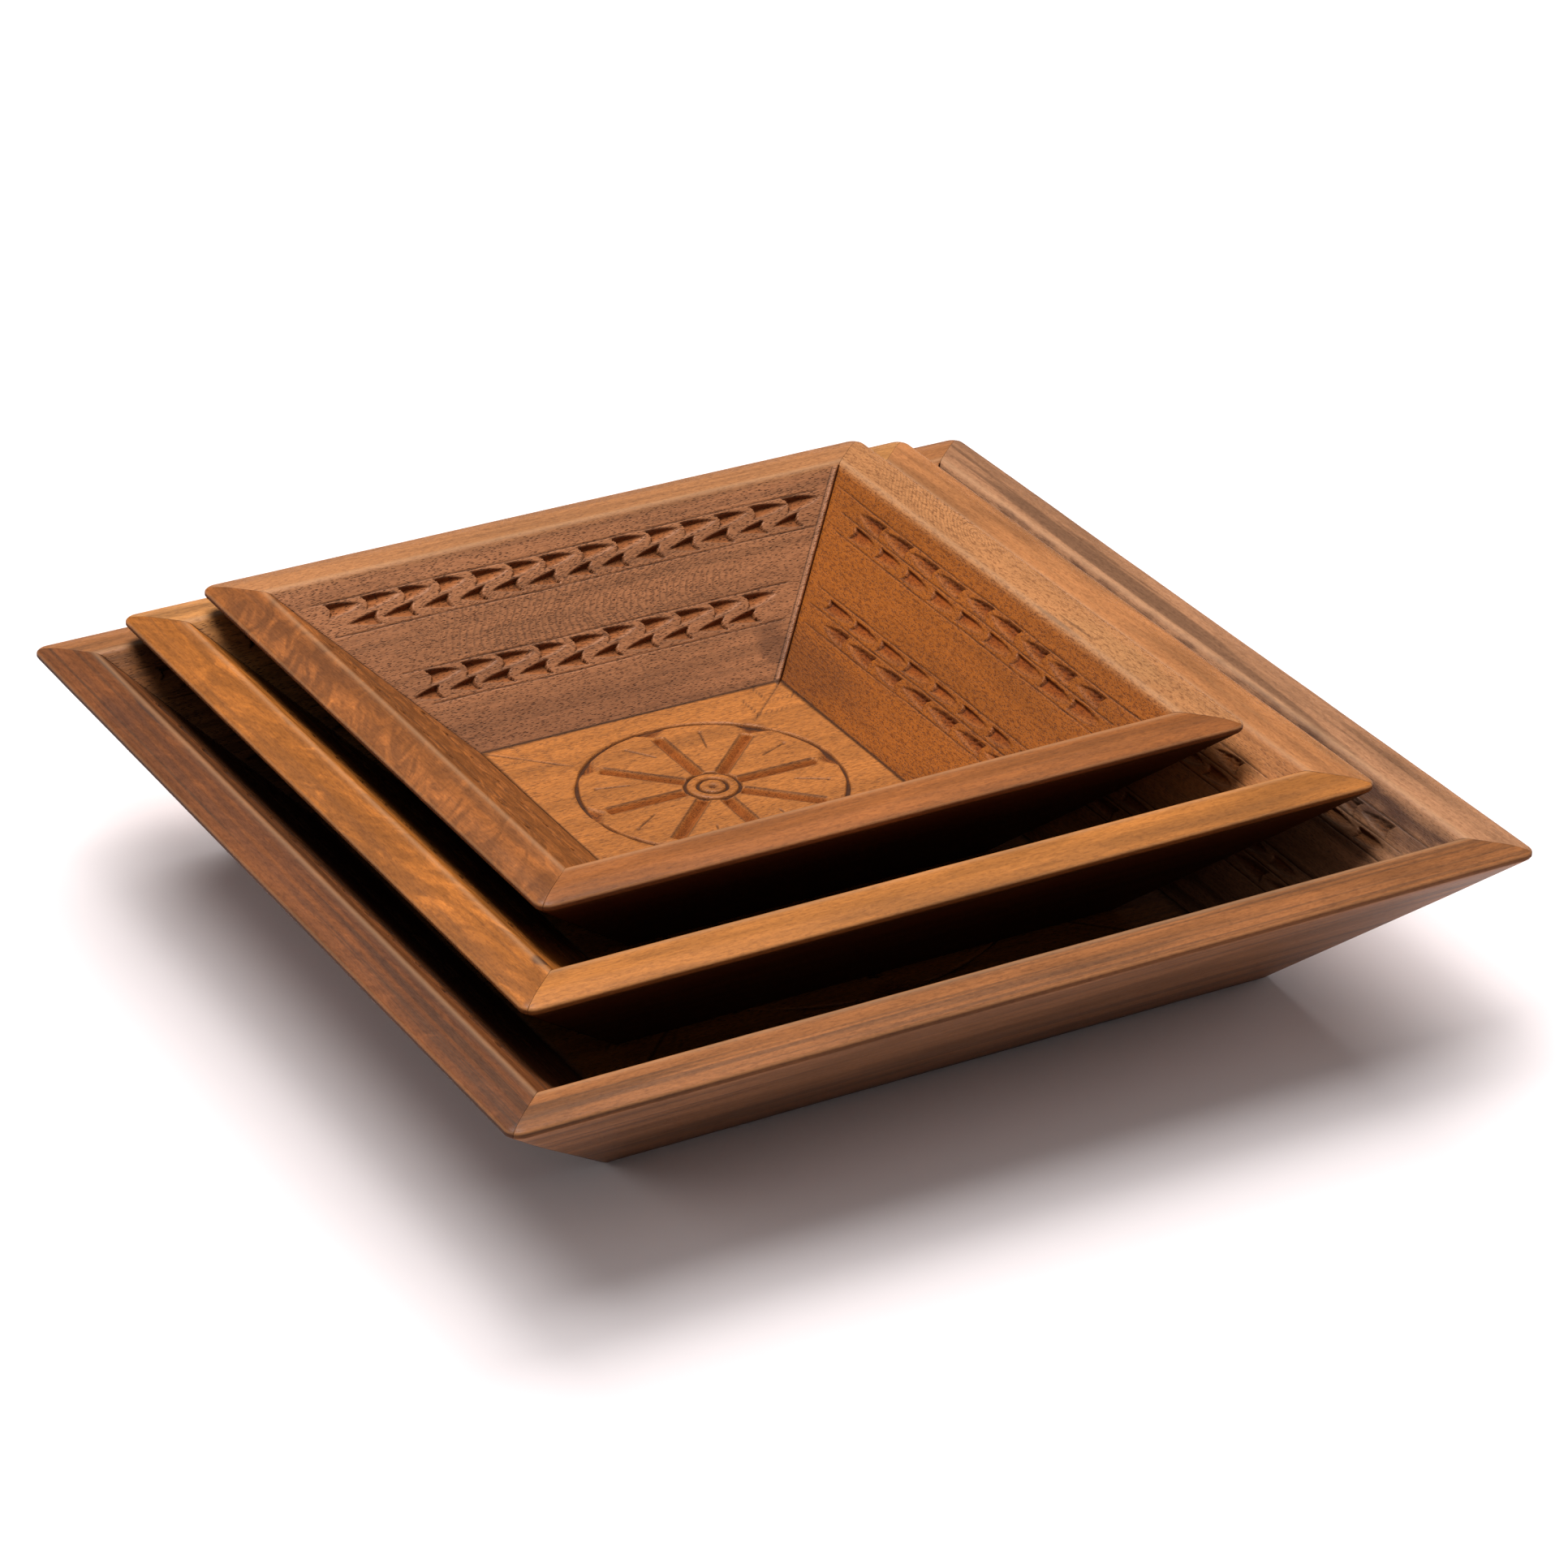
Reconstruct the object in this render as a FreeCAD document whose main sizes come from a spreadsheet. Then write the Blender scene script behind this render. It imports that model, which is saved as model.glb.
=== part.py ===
import FreeCAD, Part
import math
import os
import Sketcher

# A nest of three square wooden bowls. Each bowl is four mitred side boards glued round a
# bevelled floor board. The smaller bowls stand on the floor of the next larger one.
# Millimetres, +Z up, origin under the middle of the large bowl, floor underside at Z = 0.

DIMENSIONS = [
    ("large_width", 300.0, "rim width of the large bowl, edge to edge"),
    ("medium_width", 252.0, "rim width of the medium bowl"),
    ("small_width", 211.0, "rim width of the small bowl"),
    ("bowl_height", 50.0, "underside to the inner ridge of the rim, same for every bowl"),
    ("wall_angle", 43.6, "slope of the side boards from horizontal, in degrees"),
    ("rim_width", 14.2, "top of the rim, outer edge to inner ridge"),
    ("rim_fall", 1.2, "how far the rim's outer edge is below its inner ridge"),
    ("nose_height", 1.6, "upright lip left at the rim's outer edge"),
    ("corner_radius", 4.0, "easing of the rim's corners, seen from above"),
    ("floor_thick", 8.5, "thickness of the floor board"),
    ("medium_shift_x", -0.7, "middle of the medium bowl from the middle of the large one"),
    ("medium_shift_y", 14.4, "the medium bowl leans close to the large bowl's back wall"),
    ("small_shift_x", -1.0, "middle of the small bowl from the middle of the large one"),
    ("small_shift_y", 25.4, "the small bowl leans close to the medium bowl's back wall"),
    ("scribe_width", 0.6, "width of the scribed border lines"),
    ("scribe_depth", 0.5, "depth of the scribed border lines"),
    ("upper_band", 6.8, "ridge to the first scribed line, down the slope"),
    ("lower_band", 32.3, "ridge to the third scribed line, down the slope"),
    ("band_width", 10.7, "distance between the two scribed lines of a band"),
    ("chip_pitch", 11.2, "distance between gouge cuts along a band"),
    ("chip_length", 7.2, "length of a gouge cut"),
    ("chip_width", 3.4, "width of a gouge cut"),
    ("chip_depth", 1.6, "depth of a gouge cut at its upright end"),
    ("chip_offset", 2.6, "middle of a row of cuts from its scribed line"),
    ("band_margin", 7.0, "plain wood left between a band and the mitres"),
    ("wheel_share", 0.78, "radius of the floor's carved wheel over half the floor's width"),
    ("spoke_inner", 0.21, "inner end of a spoke over the wheel's radius"),
    ("spoke_outer", 0.89, "outer end of a spoke over the wheel's radius"),
    ("spoke_width", 3.6, "width of a spoke groove"),
    ("wheel_depth", 1.1, "depth of the spoke grooves"),
]

BOWLS = ["large", "medium", "small"]
# Each side board is drawn at the back of its bowl and turned about the bowl's middle.
SIDES = [("back", 0.0), ("left", 90.0), ("front", 180.0), ("right", 270.0)]
SPOKES = 8
CLEAR_OF_FACE = 0.4      # how far a cutting shape stands out of the face it cuts
SHEET = "Dimensions."

doc = FreeCAD.newDocument("NestingBowls")


def make_sheet():
    sheet = doc.addObject("Spreadsheet::Sheet", "Dimensions")
    for row, (alias, value, note) in enumerate(DIMENSIONS, start=1):
        sheet.set("A%d" % row, note)
        sheet.set("B%d" % row, str(value))
        sheet.setAlias("B%d" % row, alias)
    doc.recompute()
    return sheet


sheet = make_sheet()


def size(alias):
    return float(getattr(sheet, alias))


def origin_plane(body, role):
    for feature in body.Origin.OriginFeatures:
        if feature.Role == role:
            return feature
    raise RuntimeError("no origin feature " + role)


def new_sketch(body, name, role):
    sketch = body.newObject("Sketcher::SketchObject", name)
    sketch.AttachmentSupport = [(origin_plane(body, role), "")]
    sketch.MapMode = "FlatFace"
    return sketch


def driven(sketch, kind, *arguments):
    """Add a dimensional constraint whose last argument is a sheet expression."""
    *geometry, value, expression = arguments
    index = sketch.addConstraint(Sketcher.Constraint(kind, *geometry, value))
    sketch.setExpression("Constraints[%d]" % index, expression)


def closed_lines(sketch, corners):
    """Draw a closed outline of straight lines and join its corners."""
    first = sketch.GeometryCount
    points = [FreeCAD.Vector(x, y, 0) for x, y in corners]
    for start, end in zip(points, points[1:] + points[:1]):
        sketch.addGeometry(Part.LineSegment(start, end), False)
    total = len(points)
    for i in range(total):
        following = first + (i + 1) % total
        sketch.addConstraint(Sketcher.Constraint("Coincident", first + i, 2, following, 1))
    return first


def box_lines(sketch, low, high, skip=None):
    """Draw an upright rectangle. skip is the side whose direction something else fixes."""
    (left, foot), (right, top) = low, high
    first = closed_lines(sketch, [(left, foot), (right, foot), (right, top), (left, top)])
    for i, kind in enumerate(["Horizontal", "Vertical", "Horizontal", "Vertical"]):
        if i != skip:
            sketch.addConstraint(Sketcher.Constraint(kind, first + i))
    return first


def pad(body, name, sketch, expression, both_ways):
    feature = body.newObject("PartDesign::Pad", name)
    feature.Profile = sketch
    feature.SideType = "Symmetric" if both_ways else "One side"
    feature.setExpression("Length", expression)
    sketch.Visibility = False
    return feature


def pocket(body, name, sketch, expression=None, both_ways=True):
    """Cut a sketch's shape out of the body: to a length, or through everything."""
    before = body.Shape.Volume
    feature = body.newObject("PartDesign::Pocket", name)
    feature.Profile = sketch
    feature.SideType = "Symmetric" if both_ways else "One side"
    if expression is None:
        feature.Type = "ThroughAll"
    else:
        feature.setExpression("Length", expression)
    doc.recompute()
    if body.Shape.Volume >= before:
        raise RuntimeError("%s in %s cuts nothing" % (name, body.Label))
    return feature


def board_profile(body, width):
    """Cross-section of a side board: parallel slopes, a flat foot, a rim and a thin nose."""
    half, height = size(width) / 2, size("bowl_height")
    slope = math.radians(size("wall_angle"))
    nose_top = height - size("rim_fall")
    nose_foot = nose_top - size("nose_height")
    ridge = half - size("rim_width")
    sketch = new_sketch(body, "Profile", "YZ_Plane")
    foot, outer, nose, rim, inner = range(5)
    closed_lines(sketch, [
        (ridge - height / math.tan(slope), 0.0),
        (half - nose_foot / math.tan(slope), 0.0),
        (half, nose_foot),
        (half, nose_top),
        (ridge, height),
    ])
    sketch.addConstraint([
        Sketcher.Constraint("PointOnObject", foot, 1, -1),
        Sketcher.Constraint("Horizontal", foot),
        Sketcher.Constraint("Vertical", nose),
        Sketcher.Constraint("Parallel", outer, inner),
    ])
    driven(sketch, "Angle", -1, 1, outer, 1, slope, SHEET + "wall_angle * 1deg")
    driven(sketch, "DistanceY", -1, 1, inner, 1, height, SHEET + "bowl_height * 1mm")
    driven(sketch, "DistanceX", -1, 1, nose, 1, half, SHEET + width + " / 2 * 1mm")
    driven(sketch, "DistanceX", inner, 1, nose, 2, half - ridge, SHEET + "rim_width * 1mm")
    driven(sketch, "DistanceY", nose, 2, inner, 1, height - nose_top, SHEET + "rim_fall * 1mm")
    driven(sketch, "DistanceY", nose, 1, nose, 2, nose_top - nose_foot,
           SHEET + "nose_height * 1mm")
    return sketch


def board_plan(body, width):
    """Plan of a side board: mitred at 45 degrees, with half of each rounded rim corner.

    The rectangle round it makes the cut remove everything outside the plan.
    """
    half, radius = size(width) / 2, size("corner_radius")
    start, margin = 5.0, 10.0
    centre = half - radius
    middle = centre + radius * math.sqrt(0.5)
    sketch = new_sketch(body, "Plan", "XY_Plane")
    inner, right, right_arc, outer, left_arc, left = range(6)
    arc_centres = [FreeCAD.Vector(centre, centre, 0), FreeCAD.Vector(-centre, centre, 0)]
    turns = [(45, 90), (90, 135)]
    arcs = []
    for point, (low, high) in zip(arc_centres, turns):
        circle = Part.Circle(point, FreeCAD.Vector(0, 0, 1), radius)
        arcs.append(Part.ArcOfCircle(circle, math.radians(low), math.radians(high)))

    def line(first, last):
        return Part.LineSegment(FreeCAD.Vector(*first, 0), FreeCAD.Vector(*last, 0))

    sketch.addGeometry([
        line((-start, start), (start, start)),
        line((start, start), (middle, middle)),
        arcs[0],
        line((centre, half), (-centre, half)),
        arcs[1],
        line((-middle, middle), (-start, start)),
    ], False)
    loop = [inner, right, right_arc, outer, left_arc, left]
    for this, following in zip(loop, loop[1:] + loop[:1]):
        kind = "Tangent" if outer in (this, following) else "Coincident"
        sketch.addConstraint(Sketcher.Constraint(kind, this, 2, following, 1))
    sketch.addConstraint([
        Sketcher.Constraint("Horizontal", outer),
        Sketcher.Constraint("Symmetric", inner, 1, inner, 2, -2),
        Sketcher.Constraint("Perpendicular", right, left),
        Sketcher.Constraint("PointOnObject", -1, 1, right),
        Sketcher.Constraint("PointOnObject", -1, 1, left),
        Sketcher.Constraint("PointOnObject", right_arc, 3, right),
        Sketcher.Constraint("PointOnObject", left_arc, 3, left),
        Sketcher.Constraint("Equal", right_arc, left_arc),
    ])
    driven(sketch, "Radius", right_arc, radius, SHEET + "corner_radius * 1mm")
    driven(sketch, "DistanceY", -1, 1, outer, 1, half, SHEET + width + " / 2 * 1mm")
    sketch.addConstraint(Sketcher.Constraint("DistanceY", -1, 1, inner, 1, start))
    reach = half + margin
    box = box_lines(sketch, (-reach, 0), (reach, reach), skip=0)
    sketch.addConstraint([
        Sketcher.Constraint("PointOnObject", box, 1, -1),
        Sketcher.Constraint("Symmetric", box, 1, box, 2, -2),
    ])
    reach_text = SHEET + width + " / 2 * 1mm + %g mm" % margin
    driven(sketch, "DistanceX", -1, 1, box, 2, reach, reach_text)
    driven(sketch, "DistanceY", -1, 1, box + 2, 1, reach, reach_text)
    return sketch


def on_slope(sketch, width, down):
    """Stand a sketch on the inner slope: x along the board, y out of the wood.

    down is a sheet expression for the distance from the ridge, down the slope.
    """
    ridge = "(%s%s / 2 - %srim_width)" % (SHEET, width, SHEET)
    angle = SHEET + "wall_angle * 1deg"
    sketch.setExpression("AttachmentOffset.Rotation.Axis.x", "1")
    sketch.setExpression("AttachmentOffset.Rotation.Axis.y", "0")
    sketch.setExpression("AttachmentOffset.Rotation.Axis.z", "0")
    sketch.setExpression("AttachmentOffset.Rotation.Angle", angle)
    sketch.setExpression("AttachmentOffset.Base.y",
                         "(%sbowl_height - (%s) * sin(%s)) * 1mm" % (SHEET, down, angle))
    sketch.setExpression("AttachmentOffset.Base.z",
                         "-(%s - (%s) * cos(%s)) * 1mm" % (ridge, down, angle))


def row_length(width, down):
    """Room for a row of cuts at a distance down the slope, between its two margins."""
    slope = math.radians(size("wall_angle"))
    half = size(width) / 2 - size("rim_width") - down * math.cos(slope)
    return 2 * (half - size("band_margin"))


def scribed_lines(body, width):
    """Four fine grooves along the inner slope, which border the two carved bands."""
    for band in ("upper_band", "lower_band"):
        for name, extra in (("top", 0.0), ("foot", size("band_width"))):
            down = SHEET + band
            if extra:
                down += " + %sband_width" % SHEET
            sketch = new_sketch(body, "%s_%s_line" % (band, name), "XZ_Plane")
            on_slope(sketch, width, down)
            length = row_length(width, size(band) + extra)
            depth = size("scribe_depth")
            outline = box_lines(sketch, (-length / 2, -depth), (length / 2, CLEAR_OF_FACE),
                                skip=0)
            sketch.addConstraint(Sketcher.Constraint("Symmetric", outline, 1, outline, 2, -2))
            half_text = "(%s%s / 2 - %srim_width - (%s) * cos(%swall_angle * 1deg)" % (
                SHEET, width, SHEET, down, SHEET)
            half_text += " - %sband_margin) * 1mm" % SHEET
            driven(sketch, "DistanceX", -1, 1, outline, 2, length / 2, half_text)
            driven(sketch, "DistanceY", outline, 2, -1, 1, depth, SHEET + "scribe_depth * 1mm")
            sketch.addConstraint(
                Sketcher.Constraint("DistanceY", -1, 1, outline + 2, 1, CLEAR_OF_FACE))
            pocket(body, "%s_%s_groove" % (band, name), sketch, SHEET + "scribe_width * 1mm")


def gouge_row(body, width, band, row):
    """A row of wedge-shaped cuts; the two rows of a band point opposite ways."""
    upper = row == "upper"
    extra = size("chip_offset") if upper else size("band_width") - size("chip_offset")
    row_text = "chip_offset" if upper else "band_width - %schip_offset" % SHEET
    down = "%s%s + %s%s" % (SHEET, band, SHEET, row_text)
    length, depth, pitch = size("chip_length"), size("chip_depth"), size("chip_pitch")
    count = int(row_length(width, size(band) + extra) // pitch)
    first = -(count - 1) * pitch / 2
    direction = 1 if upper else -1
    deep = first - direction * length / 2
    rise = length * (1 + CLEAR_OF_FACE / depth)
    sketch = new_sketch(body, "%s_%s_cut" % (band, row), "XZ_Plane")
    on_slope(sketch, width, down)
    outline = closed_lines(sketch, [
        (deep, -depth), (deep + direction * rise, CLEAR_OF_FACE), (deep, CLEAR_OF_FACE)])
    sketch.addConstraint([
        Sketcher.Constraint("Horizontal", outline + 1),
        Sketcher.Constraint("Vertical", outline + 2),
        Sketcher.Constraint("DistanceY", -1, 1, outline + 1, 2, CLEAR_OF_FACE),
    ])
    driven(sketch, "DistanceX", outline, 1, -1, 1, -deep,
           "%d / 2 * %schip_pitch * 1mm + %d * %schip_length / 2 * 1mm"
           % (count - 1, SHEET, direction, SHEET))
    driven(sketch, "DistanceY", outline, 1, -1, 1, depth, SHEET + "chip_depth * 1mm")
    ends = (outline, 1, outline, 2) if upper else (outline, 2, outline, 1)
    driven(sketch, "DistanceX", *ends, rise,
           "%schip_length * (1 + %g / %schip_depth) * 1mm" % (SHEET, CLEAR_OF_FACE, SHEET))
    cut = pocket(body, "%s_%s_gouge" % (band, row), sketch, SHEET + "chip_width * 1mm")
    before = body.Shape.Volume
    pattern = body.newObject("PartDesign::LinearPattern", "%s_%s_row" % (band, row))
    pattern.Originals = [cut]
    pattern.Direction = (sketch, ["H_Axis"])
    pattern.Occurrences = count
    pattern.setExpression("Length", "%d * %schip_pitch * 1mm" % (count - 1, SHEET))
    body.Tip = pattern
    doc.recompute()
    if body.Shape.Volume >= before:
        raise RuntimeError("%s row in %s cuts nothing" % (band, body.Label))


def place(body, bowl, angle):
    """Turn a piece about its bowl's middle and stand the bowl where it nests."""
    level = BOWLS.index(bowl)
    body.Placement.Rotation = FreeCAD.Rotation(FreeCAD.Vector(0, 0, 1), angle)
    if level:
        body.setExpression("Placement.Base.x", SHEET + bowl + "_shift_x * 1mm")
        body.setExpression("Placement.Base.y", SHEET + bowl + "_shift_y * 1mm")
        body.setExpression("Placement.Base.z", "%d * %sfloor_thick * 1mm" % (level, SHEET))


def side_board(bowl, side, angle):
    width = bowl + "_width"
    body = doc.addObject("PartDesign::Body", "%s_%s_side" % (bowl, side))
    body.Label = "%s_%s_side" % (bowl, side)
    pad(body, "Board", board_profile(body, width), SHEET + width + " * 1mm", True)
    doc.recompute()
    pocket(body, "Mitres", board_plan(body, width))
    scribed_lines(body, width)
    for band in ("upper_band", "lower_band"):
        for row in ("upper", "lower"):
            gouge_row(body, width, band, row)
    place(body, bowl, angle)
    return body


def square(sketch, half, expression):
    """A centred square whose half width is a sheet expression."""
    outline = box_lines(sketch, (-half, -half), (half, half))
    sketch.addConstraint(Sketcher.Constraint("Symmetric", outline, 1, outline + 2, 1, -1, 1))
    driven(sketch, "DistanceX", -1, 1, outline, 2, half, expression)
    driven(sketch, "DistanceY", -1, 1, outline + 1, 2, half, expression)


def ring_groove(body, name, radius, text, depth_text):
    """A narrow circular groove in the top of a floor board."""
    line = size("scribe_width")
    sketch = new_sketch(body, name + "_circles", "XY_Plane")
    sketch.setExpression("AttachmentOffset.Base.z", SHEET + "floor_thick * 1mm")
    for sign in (1, -1):
        circle = Part.Circle(FreeCAD.Vector(0, 0, 0), FreeCAD.Vector(0, 0, 1),
                             radius + sign * line / 2)
        index = sketch.addGeometry(circle, False)
        sketch.addConstraint(Sketcher.Constraint("Coincident", index, 3, -1, 1))
        driven(sketch, "Radius", index, radius + sign * line / 2,
               "%s * 1mm + %d * %sscribe_width / 2 * 1mm" % (text, sign, SHEET))
    pocket(body, name, sketch, depth_text, both_ways=False)


def floor_board(bowl):
    """A square board with bevelled edges that fit the slope of the sides, and a carved wheel."""
    width = bowl + "_width"
    body = doc.addObject("PartDesign::Body", bowl + "_floor")
    body.Label = bowl + "_floor"
    run = 1 / math.tan(math.radians(size("wall_angle")))
    ridge = size(width) / 2 - size("rim_width")
    foot_half = ridge - size("bowl_height") * run
    top_half = ridge - (size("bowl_height") - size("floor_thick")) * run
    ridge_text = "(%s%s / 2 - %srim_width" % (SHEET, width, SHEET)
    slope_text = " / tan(%swall_angle * 1deg))" % SHEET
    foot_text = ridge_text + " - %sbowl_height" % SHEET + slope_text
    top_text = ridge_text + " - (%sbowl_height - %sfloor_thick)" % (SHEET, SHEET) + slope_text
    sketch = new_sketch(body, "Foot", "XY_Plane")
    square(sketch, foot_half, foot_text + " * 1mm")
    board = pad(body, "Board", sketch, SHEET + "floor_thick * 1mm", False)
    board.setExpression("TaperAngle", "90deg - %swall_angle * 1deg" % SHEET)
    doc.recompute()
    wheel = size("wheel_share") * top_half
    wheel_text = "(%swheel_share * %s)" % (SHEET, top_text)
    scribe_text = SHEET + "scribe_depth * 1mm"
    ring_groove(body, "Wheel_ring", wheel, wheel_text, scribe_text)
    hub_text = "(%sspoke_inner * %s - %sscribe_width)" % (SHEET, wheel_text, SHEET)
    ring_groove(body, "Hub_ring", size("spoke_inner") * wheel - size("scribe_width"),
                hub_text, scribe_text)
    inner, outer = size("spoke_inner") * wheel, size("spoke_outer") * wheel
    half_width = size("spoke_width") / 2
    spoke = new_sketch(body, "Spoke", "XY_Plane")
    spoke.setExpression("AttachmentOffset.Base.z", SHEET + "floor_thick * 1mm")
    outline = box_lines(spoke, (inner, -half_width), (outer, half_width), skip=3)
    spoke.addConstraint(Sketcher.Constraint("Symmetric", outline, 1, outline + 2, 2, -1))
    driven(spoke, "DistanceX", -1, 1, outline, 1, inner,
           "%sspoke_inner * %s * 1mm" % (SHEET, wheel_text))
    driven(spoke, "DistanceX", -1, 1, outline, 2, outer,
           "%sspoke_outer * %s * 1mm" % (SHEET, wheel_text))
    driven(spoke, "DistanceY", outline, 1, outline + 2, 2, 2 * half_width,
           SHEET + "spoke_width * 1mm")
    cut = pocket(body, "Spoke_groove", spoke, SHEET + "wheel_depth * 1mm", both_ways=False)
    before = body.Shape.Volume
    pattern = body.newObject("PartDesign::PolarPattern", "Spokes")
    pattern.Originals = [cut]
    pattern.Axis = (spoke, ["N_Axis"])
    pattern.Angle = 360
    pattern.Occurrences = SPOKES
    body.Tip = pattern
    doc.recompute()
    if body.Shape.Volume >= before:
        raise RuntimeError("spokes in %s cut nothing" % body.Label)
    place(body, bowl, 0.0)
    return body


def check(bodies):
    """Stop if any feature failed or any piece is not one sound solid."""
    for item in doc.Objects:
        for state in item.State:
            if state in ("Invalid", "Error"):
                raise RuntimeError("%s is %s" % (item.Name, state))
    for body in bodies:
        shape = body.Shape
        if shape.isNull() or not shape.isValid() or len(shape.Solids) != 1:
            raise RuntimeError("bad shape in " + body.Label)


def main():
    pieces = []
    for bowl in BOWLS:
        for side, angle in SIDES:
            pieces.append(side_board(bowl, side, angle))
        pieces.append(floor_board(bowl))
    doc.recompute()
    check(pieces)
    os.makedirs("parts", exist_ok=True)
    for piece in pieces:
        piece.Shape.exportStep("parts/%s.step" % piece.Label)
        box = piece.Shape.BoundBox
        print("%-18s %8.0f mm3  x %.1f..%.1f  y %.1f..%.1f  z %.1f..%.1f" % (
            piece.Label, piece.Shape.Volume, box.XMin, box.XMax, box.YMin, box.YMax,
            box.ZMin, box.ZMax))


main()
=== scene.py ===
"""Looks for a nest of three square wooden bowls.

Every CAD board is replaced by a denser mesh of the same board: the sides carry two carved
bands, the floors a carved wheel. Millimetres are used for the meshes, metres in Blender.
"""

import math

import bpy
import numpy as np
from mathutils import Matrix, Vector


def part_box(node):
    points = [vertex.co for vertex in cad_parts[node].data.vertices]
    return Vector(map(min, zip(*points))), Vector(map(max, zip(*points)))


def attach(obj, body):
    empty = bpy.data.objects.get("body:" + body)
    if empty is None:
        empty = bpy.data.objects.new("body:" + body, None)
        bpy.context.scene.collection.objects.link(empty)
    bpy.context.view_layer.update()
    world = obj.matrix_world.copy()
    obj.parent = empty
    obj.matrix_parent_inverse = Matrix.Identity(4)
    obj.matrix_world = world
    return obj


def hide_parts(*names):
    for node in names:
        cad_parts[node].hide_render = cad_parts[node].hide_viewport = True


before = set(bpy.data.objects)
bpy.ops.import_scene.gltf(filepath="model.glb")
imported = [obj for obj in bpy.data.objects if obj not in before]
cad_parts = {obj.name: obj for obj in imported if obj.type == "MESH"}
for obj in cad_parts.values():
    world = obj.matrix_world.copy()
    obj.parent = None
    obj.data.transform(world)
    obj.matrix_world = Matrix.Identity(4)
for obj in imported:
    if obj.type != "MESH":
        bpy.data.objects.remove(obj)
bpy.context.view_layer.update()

MM = 0.001
BOWLS = ["large", "medium", "small"]
SIDES = {"back": 0, "left": 90, "front": 180, "right": 270}

# Cross-section of a side board.
WALL_ANGLE = math.radians(43.6)
RUN = 1 / math.tan(WALL_ANGLE)
RIM_FALL = 1.2          # the rim's outer edge below its inner ridge
NOSE_HEIGHT = 1.6
CORNER_RADIUS = 4.0     # easing of the rim's corners, seen from above
RIDGE_RADIUS = 2.6
JOINT_GAP = 0.03        # half the width of the glue line between two boards
BOX_MARGIN = 0.0005     # the mesh stays this far inside the board's own box
SLOPE, RIM, NOSE, WALL, UNDERSIDE = range(5)    # faces round a side board's section

# Carved bands, down the slope from the ridge.
UPPER_BAND = (6.8, 17.5)
LOWER_BAND = (32.3, 42.9)
BAND_STEPS = 40         # mesh rows between a band's two lines
BAND_EDGE = 6           # and outside each of them
COLUMNS = 440

# Carved wheel on a floor board.
WHEEL_SHARE = 0.785     # radius of the wheel over half the floor's width
SPOKES = 8
WHEEL_COLUMNS = 720
EDGE_ROWS = 14          # mesh rows between the wheel and the board's edge


# ---------------------------------------------------------------- measures
def measure(bowl):
    """Sizes of one bowl in millimetres and where it stands, from its CAD boxes."""
    floor_low, floor_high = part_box(bowl + "_floor")
    corners = [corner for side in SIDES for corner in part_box("%s_%s_side" % (bowl, side))]
    low = Vector([min(c[i] for c in corners) for i in range(3)])
    high = Vector([max(c[i] for c in corners) for i in range(3)])
    size = {
        "half": (high.x - low.x) / 2 / MM,
        "height": (high.z - low.z) / MM,
        "floor_half": (floor_high.x - floor_low.x) / 2 / MM,
        "floor_thick": (floor_high.z - floor_low.z) / MM,
        "place": Vector(((low.x + high.x) / 2, (low.y + high.y) / 2, low.z)),
    }
    rise = size["height"] - size["floor_thick"]
    size["ridge"] = size["floor_half"] + rise * RUN
    size["slope"] = size["height"] / math.sin(WALL_ANGLE)
    return size


# ---------------------------------------------------------------- mesh helpers
def wander(x, seed, wave, amount):
    """A smooth, repeatable wobble of about +-amount along x."""
    rng = np.random.default_rng(seed)
    total = np.zeros_like(x, dtype=float)
    for octave in range(4):
        phase = rng.uniform(0, 2 * math.pi)
        stretch = rng.uniform(0.8, 1.25)
        total += np.sin(2 * math.pi * x / wave * stretch * 2 ** octave + phase) / 1.7 ** octave
    return amount * total / 2.0


def ripple(x, y, seed, wave, amount):
    """Gentle unevenness of a hand-planed face."""
    first = wander(x + 0.7 * y, seed, wave, 1.0)
    second = wander(y * 2.3 - 0.4 * x, seed + 1, wave, 1.0)
    return amount * (first + second) / 2


def build_object(name, points, face_sets, attributes, matrix):
    """A mesh object from points in millimetres and arrays of faces."""
    mesh = bpy.data.meshes.new(name)
    mesh.vertices.add(len(points))
    mesh.vertices.foreach_set("co", (points * MM).astype(np.float32).ravel())
    sizes = np.concatenate([np.full(len(f), f.shape[1]) for f in face_sets])
    corners = np.concatenate([f.ravel() for f in face_sets]).astype(np.int32)
    mesh.loops.add(len(corners))
    mesh.loops.foreach_set("vertex_index", corners)
    mesh.polygons.add(len(sizes))
    starts = np.concatenate([[0], np.cumsum(sizes)[:-1]]).astype(np.int32)
    mesh.polygons.foreach_set("loop_start", starts)
    mesh.update(calc_edges=True)
    mesh.validate()
    mesh.polygons.foreach_set("use_smooth", sizes <= 4)     # all but the boards' ends
    for key, values in attributes.items():
        layer = mesh.attributes.new(key, "FLOAT", "POINT")
        layer.data.foreach_set("value", values.astype(np.float32).ravel())
    thing = bpy.data.objects.new(name, mesh)
    bpy.context.scene.collection.objects.link(thing)
    thing.matrix_world = matrix
    return thing


def grid_faces(rows, columns):
    """Quads of a grid whose rows close into a loop."""
    index = np.arange(rows * columns).reshape(rows, columns)
    this, following = index, np.roll(index, -1, axis=0)
    return np.stack([this[:, :-1], this[:, 1:], following[:, 1:], following[:, :-1]],
                    axis=-1).reshape(-1, 4)


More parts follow.
